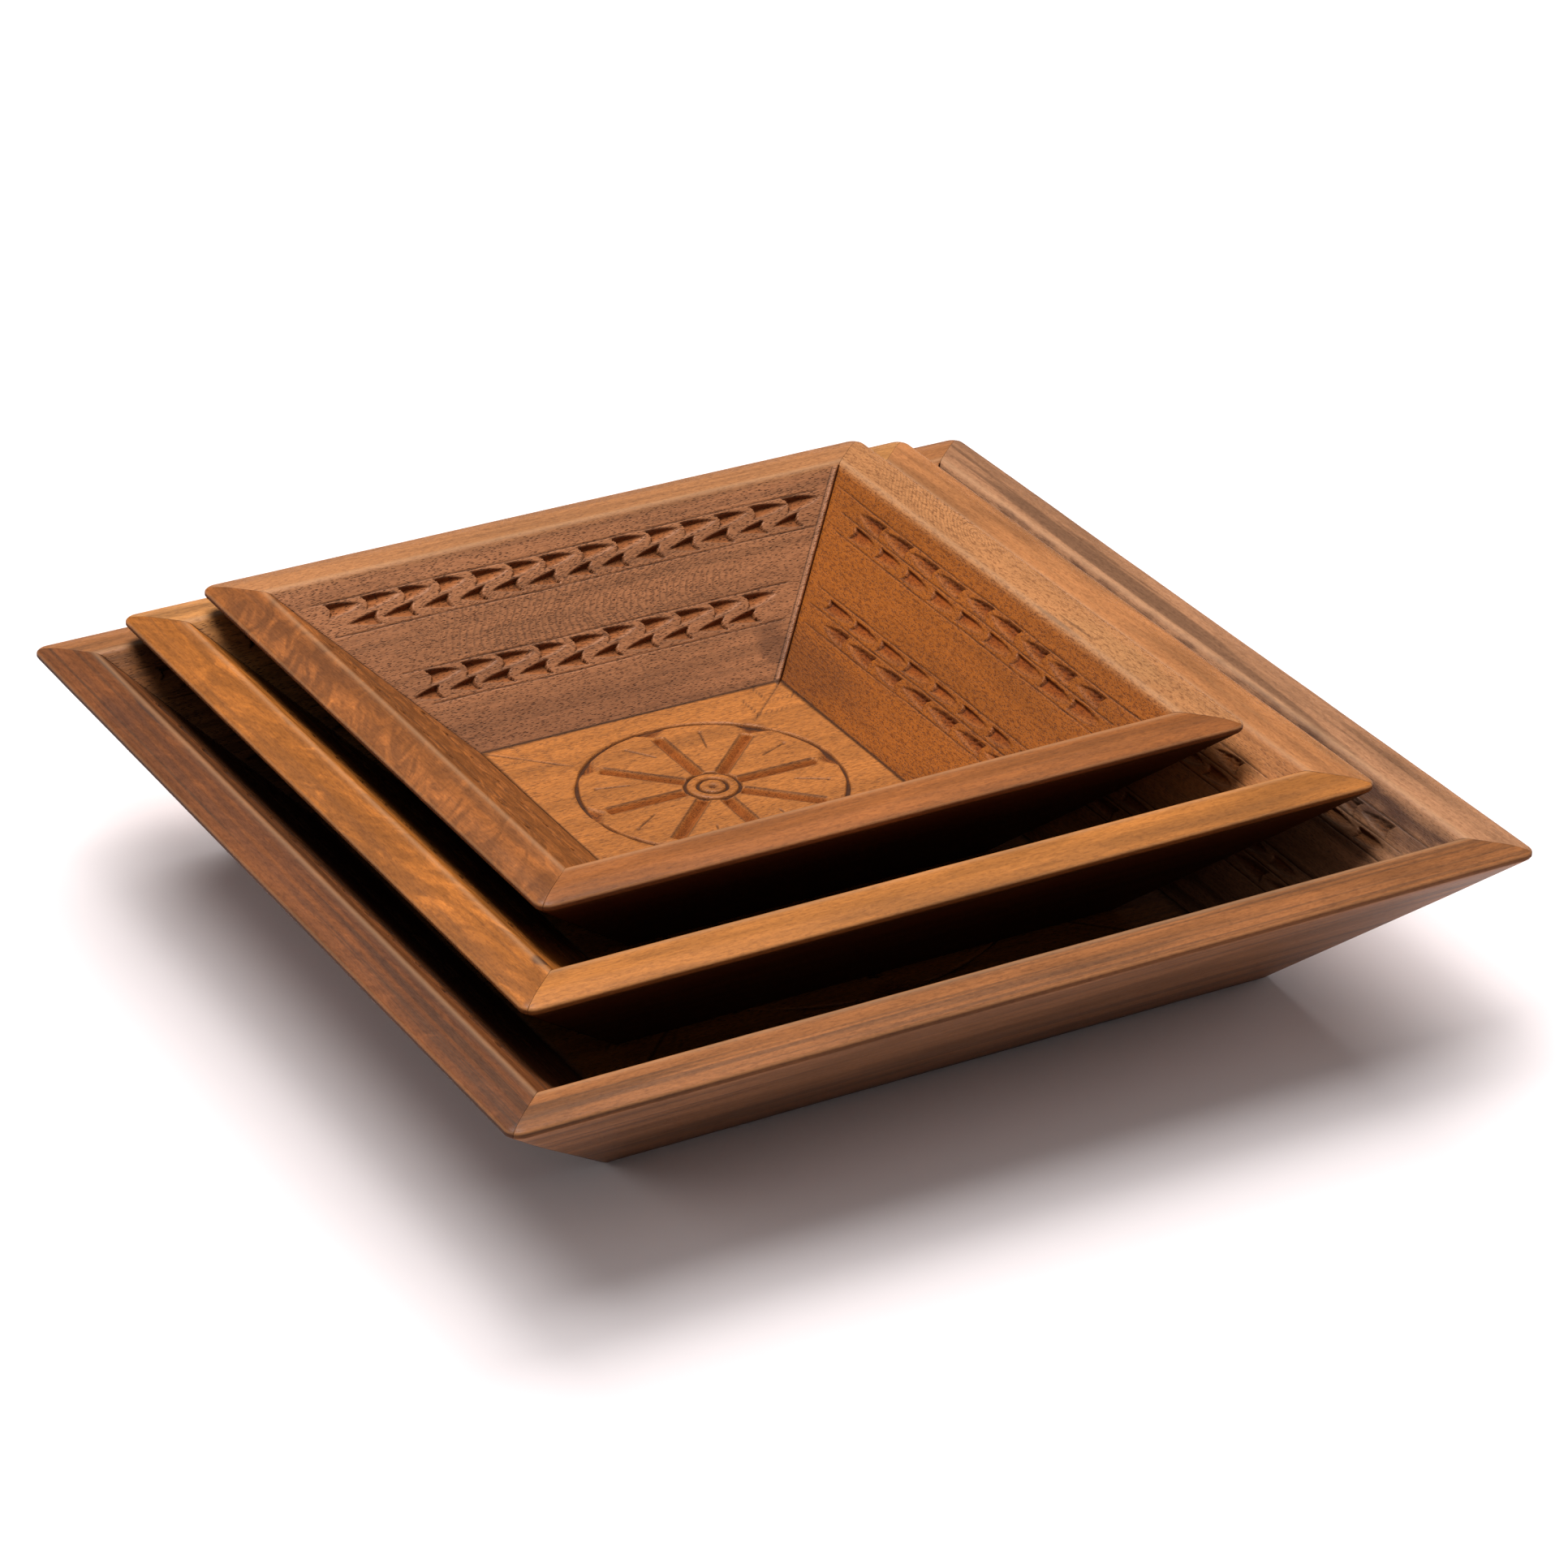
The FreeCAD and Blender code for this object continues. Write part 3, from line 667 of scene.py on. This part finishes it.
LOOKS = {
    "large_back": {"outside": SCRAPED, "light": (0.33, 0.126, 0.042), "streaks": 0.45},
    "large_left": {
        "outside": SCRAPED, "light": (0.200, 0.062, 0.017), "curl": 0.3, "pores": 0.3,
        "streak": (0.065, 0.028, 0.013), "streaks": 0.75, "streak_wide": 2.0,
        "streak_run": 0.008,
        "patches": ((122, -1, 14, 0.35, STAIN_AND_SHADOW, 0.9), (96, -1.6, 9, 0.3, STAIN_AND_SHADOW, 0.8),
                    (-20, -1.5, 130, 1.3, STAIN_AND_SHADOW, 0.5), (0, -4, 120, 1.1, STAIN_AND_SHADOW, 0.4),
                    (40, -6.5, 100, 0.9, STAIN_AND_SHADOW, 0.35), (100, -5, 14, 4, STAIN_AND_SHADOW, 0.35))},
    "large_front": {
        "outside": SCRAPED, "light": (0.315, 0.112, 0.033), "pores": 0.4,
        "streaks": 0.6, "streak_wide": 2.4, "streak_run": 0.01},
    "large_right": {
        "outside": SCRAPED, "light": (0.40, 0.185, 0.088), "pores": 0.4,
        "streak": (0.12, 0.056, 0.028), "streaks": 0.75, "streak_wide": 4.5,
        # This oval darkens the top of the inner slope: painted shadow of the medium bowl's rim.
        "patches": ((0, 6.5, 170, 6, STAIN_AND_SHADOW, 0.9),)},
    "medium_back": {"light": (0.52, 0.220, 0.066)},
    "medium_left": {
        "light": (0.43, 0.135, 0.020), "streak": (0.16, 0.055, 0.014), "streaks": 0.5,
        "curl": 0.6, "curl_lean": 0.2, "rings": 0.45, "pores": 0.3,
        "patches": ((-106, 0.5, 3, 2.5, STAIN_AND_SHADOW, 0.8),)},
    "medium_front": {"light": (0.46, 0.162, 0.033), "streaks": 0.1, "pores": 0.35},
    "medium_right": {"light": (0.455, 0.177, 0.060), "streak": (0.24, 0.12, 0.05),
                     "pores": 0.4},
    "small_back": {
        "light": (0.375, 0.150, 0.062), "rim": (0.38, 0.157, 0.058), "tone": 0.45,
        "eye": (85, 29), "tilt": 0.32, "ring": 0.70, "rings": 1.4,
        "arcs": ((-2, 24, 58, 17),), "knots": ((-58, 24, 11, 7, 5.0),),
        "pores": 1.0, "dash": 0.6,
        "patches": ((50, 49, 6, 8, STAIN_AND_SHADOW, 0.45), (-20, 58, 60, 12, STAIN_AND_SHADOW, 0.25))},
    "small_left": {
        "light": (0.335, 0.104, 0.021), "curl": 0.8, "curl_lean": -0.5, "rings": 0.3,
        "pores": 0.3, "patches": ((60, -4, 45, 7, STAIN_AND_SHADOW, 0.25),)},
    "small_front": {"light": (0.36, 0.114, 0.026), "streaks": 0.2, "pores": 0.4},
    "small_right": {
        "light": (0.31, 0.087, 0.011), "rim": (0.44, 0.185, 0.067), "tone": 0.5,
        "streaks": 0.05, "mottle": 0.75,
        "eye": (-15, -6), "tilt": 0.5, "ring": 0.95, "rings": 1.0,
        "arcs": ((-50, -6, 40, 7), (-45, 50, 30, 10)),
        "pores": 0.8, "dash": 1.2, "fine": 2.2, "pore": (0.085, 0.026, 0.009),
        "patches": ((52, -4, 26, 4, OLIVE, 0.45), (30, -0.5, 12, 0.7, STAIN_AND_SHADOW, 0.6),
                    (38, -2.5, 10, 0.35, STAIN_AND_SHADOW, 0.5), (-45, 52, 40, 9, STAIN_AND_SHADOW, 0.3))},
    "large_floor": {"light": (0.36, 0.120, 0.020)},
    "medium_floor": {"light": (0.36, 0.120, 0.020)},
    "small_floor": {
        "light": (0.425, 0.145, 0.031), "ring": 2.4, "rings": 0.25, "pores": 0.6,
        "tone": 0.65, "streaks": 0.1, "mottle": 0.45},
}


def inside_ellipse(g, spot, patch, fuzz):
    """A soft mask that is 1 in the middle of an oval place on the board."""
    along, down, half_long, half_wide = patch[:4]
    middle = g.stretch(spot, (1 / half_long, 1 / half_wide, 0),
                       (-along / half_long, -down / half_wide, 0))
    far = g.node("ShaderNodeVectorMath", {0: middle}, operation="LENGTH").outputs["Value"]
    return g.span(g.add(far, fuzz), 1.2, 0.5)


def board_place(g, size, flat):
    """Coordinates in millimetres: along the grain, down the inner slope, into the wood."""
    place = g.node("ShaderNodeTexCoord").outputs["Object"]
    spot = g.stretch(place, (1 / MM,) * 3)
    if flat:
        return spot
    turned = g.node("ShaderNodeVectorRotate", {"Vector": spot, "Angle": -WALL_ANGLE},
                    rotation_type="X_AXIS").outputs[0]
    sin, cos = math.sin(WALL_ANGLE), math.cos(WALL_ANGLE)
    ridge, height = size["ridge"], size["height"]
    return g.stretch(turned, (1, -1, -1), (0, ridge * cos + height * sin,
                                           height * cos - ridge * sin))


def growth_rings(g, spot, look, shift):
    """Where a point is between two growth rings (0 to 1) and how dark the ring's line is."""
    along, down, deep = g.node("ShaderNodeSeparateXYZ", {0: spot}).outputs
    bend = g.noise(g.stretch(spot, (0.014, 0.05, 0.05), shift), 2.0)
    ring_y = g.add(g.add(down, -look["eye"][1]), g.times(g.add(bend, -0.5), 11.0))
    ring_z = g.add(deep, g.times(g.add(along, -look["eye"][0]), look["tilt"]))
    radius = g.math("SQRT", g.add(g.times(ring_y, ring_y), g.times(ring_z, ring_z)))
    for knot in look["knots"]:
        radius = g.add(radius, g.times(inside_ellipse(g, spot, knot, 0.0), knot[4]))
    wiggle = g.noise(g.stretch(spot, (0.06, 0.35, 0.35), shift), 3.0)
    saw = g.math("FRACT", g.add(g.math("DIVIDE", radius, look["ring"]), g.times(wiggle, 1.1)))
    late = g.times(g.span(saw, 0.45, 0.85), g.span(saw, 1.0, 0.85))
    broken = g.noise(g.stretch(spot, (0.8, 1.4, 1.4), shift[::-1]), 1.0)
    late = g.times(late, g.span(broken, 0.35, 0.6, 0.35, 1.0))
    if look["arcs"]:
        # The rings show best in some parts of the board.
        clear = 0.12
        for oval in look["arcs"]:
            clear = g.math("MAXIMUM", clear, inside_ellipse(g, spot, oval, 0.0))
        late = g.times(late, clear)
    return saw, late


def wood_colour(g, spot, look, shift, late):
    """Colour of the bare wood before pores, cuts and the painted edge highlight."""
    light, dark = shade(look["light"]), shade(look["light"], look["dark"])
    face = g.attribute("face")
    if look["rim"]:
        rim = g.math("MINIMUM", face, 1.0)
        light = g.mix(rim, light, shade(look["rim"]))
        dark = g.mix(rim, dark, shade(look["rim"], look["dark"]))
    tone = g.noise(g.stretch(spot, (0.012, 0.12, 0.12), shift), 4.0, 0.6)
    body = g.mix(g.times(g.span(tone, 0.34, 0.70), look["tone"]), light, dark)
    body = g.mix(g.times(late, look["rings"]), body, dark)
    band = 1 / look["streak_wide"]
    stripe = g.noise(g.stretch(spot, (band * look["streak_run"], band, band), shift[::-1]), 3.0,
                     0.55)
    body = g.mix(g.times(g.span(stripe, 0.49, 0.63), look["streaks"]), body,
                 shade(look["streak"]))
    if look["curl"]:
        # Flames that cross the grain at a slant, where the fibres rise and fall.
        slant = g.node("ShaderNodeVectorRotate", {"Vector": spot, "Angle": look["curl_lean"]},
                       rotation_type="Z_AXIS").outputs[0]
        swirl = g.node("ShaderNodeTexNoise", {
            "Vector": g.stretch(slant, (0.045, 0.16, 0.08), shift), "Scale": 1.0, "Detail": 4.0,
            "Roughness": 0.55, "Distortion": 1.6}).outputs[0]
        body = g.mix(g.times(g.span(swirl, 0.40, 0.62), look["curl"]), body,
                     shade(look["light"], 0.42))
        body = g.mix(g.times(g.span(swirl, 0.42, 0.26), look["curl"] * 0.7), body,
                     shade(look["light"], 1.6))
    # The outer walls are multiplied by the outside colour: on the small and medium bowls it is
    # painted shade under their rims, on the large bowl a paler, greyer tint.
    outside = g.math("SUBTRACT", face, 1.0, clamp=True)
    return g.mix(outside, body, shade(look["outside"]), "MULTIPLY")


def stains_and_shadow(g, spot, look, shift, body):
    """The wood's colour with its ovals, mostly stains and on one board a painted shadow; they
    don't reach the outer wall.
    """
    fuzz = g.noise(g.stretch(spot, (0.08, 0.3, 0.3), shift), 4.0)
    inner = g.math("SUBTRACT", 2.0, g.attribute("face"), clamp=True)
    for patch in look["patches"]:
        mask = inside_ellipse(g, spot, patch, g.times(g.add(fuzz, -0.5), 1.4))
        body = g.mix(g.times(g.times(mask, inner), patch[5]), body, shade(patch[4]))
    return body


def pore_mask(g, spot, look, shift, saw):
    """Open pores as short dashes, gathered in the early wood; fewer on the polished rims."""
    cells = g.node("ShaderNodeTexVoronoi",
                   {"Vector": g.stretch(spot, (look["dash"], look["fine"], look["fine"]), shift),
                    "Scale": 1.0})
    pore = g.span(cells.outputs["Distance"], 0.42, 0.22)
    crowd = g.noise(g.stretch(spot, (0.05, 0.25, 0.25), shift), 2.0)
    gather = g.add(0.45, g.times(g.span(saw, 0.8, 0.2), 0.55))
    pore = g.times(g.times(pore, gather), g.times(g.span(crowd, 0.2, 0.42), look["pores"]))
    return g.times(pore, g.span(g.attribute("face"), 0.2, 1.0, 1.0, 0.35))


def wood(name, seed, size, flat):
    """Oiled hardwood with its grain along the board's own x direction."""
    look = dict(PLAIN, **LOOKS[name])
    material = bpy.data.materials.new("wood_" + name)
    material.use_nodes = True
    g = Graph(material.node_tree)
    spot = board_place(g, size, flat)
    rng = np.random.default_rng(seed)
    shift = tuple(float(value) for value in rng.uniform(-500, 500, 3))
    saw, late = growth_rings(g, spot, look, shift)
    body = stains_and_shadow(g, spot, look, shift, wood_colour(g, spot, look, shift, late))

    mottle = g.noise(g.stretch(spot, (0.45, 1.3, 1.3), shift[::-1]), 4.0, 0.65)
    body = g.mix(g.times(g.span(mottle, 0.47, 0.64), look["mottle"]), body,
                 shade((0.45, 0.38, 0.35)), "MULTIPLY")
    fibre = g.noise(g.stretch(spot, (0.25, 3.0, 3.0), shift), 2.0)
    grit = g.noise(g.stretch(spot, (0.9, 1.6, 1.6), shift), 2.0)
    glow = g.add(0.62, g.add(g.times(fibre, 0.46), g.times(grit, 0.30)))
    grey = g.node("ShaderNodeCombineColor", {0: glow, 1: glow, 2: glow}).outputs[0]
    body = g.mix(1.0, body, grey, "MULTIPLY")
    pore = pore_mask(g, spot, look, shift, saw)
    body = g.mix(pore, body, shade(look["pore"]))

    # Cuts darkened with depth as painted shade in the hollows, dark lines, joints and painted
    # shadows from the cut attribute, and a painted highlight on ridges and noses.
    cut, sunk, edge_highlight = (g.attribute(key) for key in ("cut", "sunk", "edge_highlight"))
    # Painted shade: the deeper the cut, the darker.
    body = g.mix(g.span(sunk, 0.15, 0.9), body, shade((0.85, 0.66, 0.42)), "MULTIPLY")
    dark_marks_and_shade = g.math("MAXIMUM", g.times(cut, 0.9), g.times(g.span(sunk, 0.1, 1.6), 0.15))
    body = g.mix(dark_marks_and_shade, body, shade((0.016, 0.008, 0.005)))
    # Painted highlight on the ridges and noses.
    body = g.mix(g.times(edge_highlight, 0.3), body, shade((0.45, 0.26, 0.14)))

    height = g.add(g.times(fibre, 0.3), g.times(pore, -0.8))
    bump = g.node("ShaderNodeBump", {"Height": height, "Distance": 0.00025,
                                     "Strength": 0.7})
    # Oil and polish stay out of the cuts and pores.
    bare = g.math("MAXIMUM", g.math("MAXIMUM", pore, cut), g.span(sunk, 0.1, 0.6))
    gloss = g.add(look["rough"], g.times(g.add(fibre, -0.5), 0.15))
    surface = g.node("ShaderNodeBsdfPrincipled", {
        "Base Color": body, "Roughness": g.add(gloss, g.times(bare, 0.4)),
        "Normal": bump.outputs[0]})
    surface.inputs["IOR"].default_value = 1.46
    surface.inputs["Specular IOR Level"].default_value = 0.2
    g.node("ShaderNodeOutputMaterial", {"Surface": surface.outputs[0]})
    return material


def plain_surface(name, colour, rough):
    material = bpy.data.materials.new(name)
    material.use_nodes = True
    surface = material.node_tree.nodes["Principled BSDF"]
    surface.inputs["Base Color"].default_value = shade(colour)
    surface.inputs["Roughness"].default_value = rough
    surface.inputs["Specular IOR Level"].default_value = 0.2
    return material


# ---------------------------------------------------------------- pieces
def add_bowls():
    seed = 0
    things = []
    for bowl in BOWLS:
        body = bowl + "_bowl"
        pieces = [(side_board(bowl, side), "%s_%s_side" % (bowl, side), side,
                   bowl + "_wood") for side in SIDES]
        pieces.append((floor_board(bowl), bowl + "_floor", "floor", "floor_wood"))
        for thing, node, part, slot in pieces:
            seed += 1
            thing.data.materials.append(wood("%s_%s" % (bowl, part), seed, measure(bowl),
                                             part == "floor"))
            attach(thing, body)
            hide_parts(node)
            things.append(thing)
    return things


# ---------------------------------------------------------------- stage
LAMP_DISTANCE = 1.5
# Turn and rise of each lamp for the table, its strength and its width in degrees.
TABLE_LAMPS = [("above_table", -25, 70, 1.8, 42), ("behind_table", 25, 42, 3.2, 44),
               ("left_of_table", -60, 20, 0.55, 30), ("right_of_table", 110, 20, 0.45, 30)]


def add_table():
    bpy.ops.mesh.primitive_plane_add(size=9.0, location=(0, 0, 0))
    table = bpy.context.object
    table.name = "table"
    table.data.materials.append(plain_surface("table_white", (0.87, 0.80, 0.80), 0.75))
    return table


def add_backdrop():
    """A white wall round the table that only the camera sees, so it doesn't light the bowls."""
    bpy.ops.mesh.primitive_cylinder_add(vertices=128, radius=4.4, depth=6.0,
                                        end_fill_type="NOTHING", location=(0, 0, 2.9))
    wall = bpy.context.object
    wall.name = "backdrop"
    material = plain_surface("backdrop_white", (0.0, 0.0, 0.0), 1.0)
    surface = material.node_tree.nodes["Principled BSDF"]
    surface.inputs["Specular IOR Level"].default_value = 0.0
    surface.inputs["Emission Color"].default_value = shade((1.0, 1.0, 1.0))
    surface.inputs["Emission Strength"].default_value = 1.0
    wall.data.materials.append(material)
    for ray in ("diffuse", "glossy", "transmission", "volume_scatter", "shadow"):
        setattr(wall, "visible_" + ray, False)


def add_light(name, kind, direction, power, receivers):
    """A lamp that faces the bowls from a direction and lights only some of the objects."""
    data = bpy.data.lights.new(name, kind)
    data.energy = power
    lamp = bpy.data.objects.new(name, data)
    bpy.context.scene.collection.objects.link(lamp)
    away = Vector(direction).normalized()
    lamp.location = away * LAMP_DISTANCE + Vector((0, 0, 0.03))
    lamp.rotation_euler = away.to_track_quat("Z", "Y").to_euler()
    lit = bpy.data.collections.new("lit_by_" + name)
    for thing in receivers:
        lit.objects.link(thing)
    lamp.light_linking.receiver_collection = lit
    return data


def compass(turn, rise):
    """Direction from the bowls: turn in degrees from +Y towards +X, and rise above the table."""
    a, e = math.radians(turn), math.radians(rise)
    return math.sin(a) * math.cos(e), math.cos(a) * math.cos(e), math.sin(e)


def add_lights(pieces, table):
    """A softbox over the bowls; the table has broad lamps of its own, so that it stays white
    round a long soft shadow."""
    softbox = add_light("softbox", "AREA", compass(-20, 78), 37.0, pieces)
    softbox.shape = "SQUARE"
    softbox.size = 0.8
    for name, turn, rise, strength, width in TABLE_LAMPS:
        lamp = add_light(name, "SUN", compass(turn, rise), strength, [table])
        lamp.angle = math.radians(width)
    add_sky()


def add_sky():
    """Dim studio: light from above, little from the walls."""
    world = bpy.data.worlds.new("studio")
    world.use_nodes = True
    g = Graph(world.node_tree)
    direction = g.node("ShaderNodeTexCoord").outputs["Generated"]
    rise = g.node("ShaderNodeSeparateXYZ", {0: direction}).outputs[2]
    strength = g.span(rise, 0.35, 0.75, 0.04, 0.33)
    sky = g.node("ShaderNodeBackground", {"Color": shade((0.98, 0.98, 1.0)),
                                          "Strength": strength})
    g.node("ShaderNodeOutputWorld", {"Surface": sky.outputs[0]})
    bpy.context.scene.world = world


def add_camera():
    """Camera placed by its turn and rise about a point on the rim's plane."""
    yaw, rise, roll = (math.radians(value) for value in (-28.993, 27.681, 0.2))
    aim, distance = Vector((-0.0049, -0.0222, 0.0488)), 1.5347
    back = Vector((math.sin(yaw) * math.cos(rise), -math.cos(yaw) * math.cos(rise),
                   math.sin(rise)))
    right = Vector((math.cos(yaw), math.sin(yaw), 0))
    up = back.cross(right)
    x_axis = right * math.cos(roll) + up * math.sin(roll)
    y_axis = up * math.cos(roll) - right * math.sin(roll)
    data = bpy.data.cameras.new("camera")
    data.sensor_width = 36.0
    data.lens = 131.9
    data.clip_end = 30.0
    camera = bpy.data.objects.new("camera", data)
    bpy.context.scene.collection.objects.link(camera)
    matrix = Matrix((x_axis, y_axis, back)).transposed().to_4x4()
    matrix.translation = aim + back * distance
    camera.matrix_world = matrix
    bpy.context.scene.camera = camera


def main():
    add_lights(add_bowls(), add_table())
    add_backdrop()
    add_camera()
    bpy.context.scene.view_settings.view_transform = "Standard"


main()
